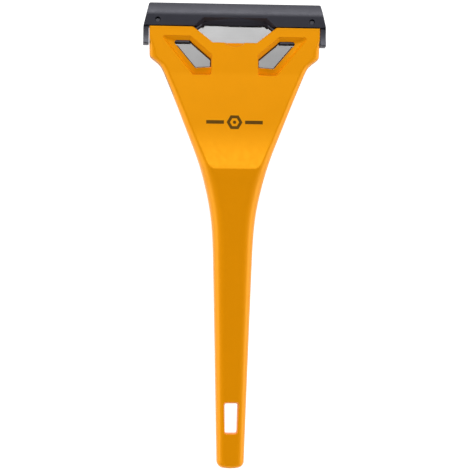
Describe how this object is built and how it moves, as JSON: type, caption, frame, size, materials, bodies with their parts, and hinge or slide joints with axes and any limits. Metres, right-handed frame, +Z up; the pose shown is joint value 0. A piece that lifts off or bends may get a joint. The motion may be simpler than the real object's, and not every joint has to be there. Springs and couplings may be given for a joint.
{
  "type": "wide-blade window scraper",
  "caption": "Long cranked handle with a wide steel blade clamped behind a notched, windowed front plate, and a slide-off blade guard.",
  "frame": {"origin": "on the table, under the middle of the whole scraper lying on its back with the guard on", "axes": "+Y along the handle towards the cutting edge, +Z up out of the front face, X across"},
  "size_m": [0.1116, 0.2832, 0.0198],
  "materials": {
    "orange_plastic": "orange-yellow moulded plastic, satin gloss",
    "charcoal_plastic": "charcoal moulded plastic, fine matt texture",
    "blade_steel": "ground and brushed spring steel",
    "zinc_steel": "bright zinc plate",
    "brass": "turned brass"
  },
  "bodies": {
    "handle": {"handle_body": "orange_plastic", "insert_centre": "brass", "insert_left": "brass", "insert_right": "brass"},
    "blade": {"blade": "blade_steel"},
    "guard": {"blade_guard": "charcoal_plastic"},
    "clamp": {"blade_clamp": "charcoal_plastic"},
    "washer_centre": {"washer_centre": "zinc_steel"},
    "screw_centre": {"clamp_screw_centre": "zinc_steel"},
    "washer_left": {"washer_left": "zinc_steel"},
    "screw_left": {"clamp_screw_left": "zinc_steel"},
    "washer_right": {"washer_right": "zinc_steel"},
    "screw_right": {"clamp_screw_right": "zinc_steel"}
  },
  "joints": [
    {"name": "blade_lift", "type": "slide", "parent": "handle", "child": "blade", "axis": [0, -0.0698, -0.9976], "range_m": [0, 0.015]},
    {"name": "guard_slide", "type": "slide", "parent": "blade", "child": "guard", "axis": [0, 0.9976, -0.0698], "range_m": [0, 0.03]},
    {"name": "clamp_lift", "type": "slide", "parent": "blade", "child": "clamp", "axis": [0, -0.0698, -0.9976], "range_m": [0, 0.012]},
    {"name": "back_off_centre", "type": "slide", "parent": "clamp", "child": "washer_centre", "axis": [0, -0.0698, -0.9976], "range_m": [0, 0.0035]},
    {"name": "turn_centre", "type": "hinge", "parent": "washer_centre", "child": "screw_centre", "pos_m": [0, 0.10677, 0.00392], "axis": [0, -0.0698, -0.9976], "range_deg": [0, 1800]},
    {"name": "back_off_left", "type": "slide", "parent": "clamp", "child": "washer_left", "axis": [0, -0.0698, -0.9976], "range_m": [0, 0.0035]},
    {"name": "turn_left", "type": "hinge", "parent": "washer_left", "child": "screw_left", "pos_m": [-0.023, 0.08782, 0.00524], "axis": [0, -0.0698, -0.9976], "range_deg": [0, 1800]},
    {"name": "back_off_right", "type": "slide", "parent": "clamp", "child": "washer_right", "axis": [0, -0.0698, -0.9976], "range_m": [0, 0.0035]},
    {"name": "turn_right", "type": "hinge", "parent": "washer_right", "child": "screw_right", "pos_m": [0.023, 0.08782, 0.00524], "axis": [0, -0.0698, -0.9976], "range_deg": [0, 1800]}
  ],
  "couplings": [
    {"joint": "turn_centre", "follows": "back_off_centre", "rad_per_m": 8976},
    {"joint": "turn_left", "follows": "back_off_left", "rad_per_m": 8976},
    {"joint": "turn_right", "follows": "back_off_right", "rad_per_m": 8976}
  ]
}
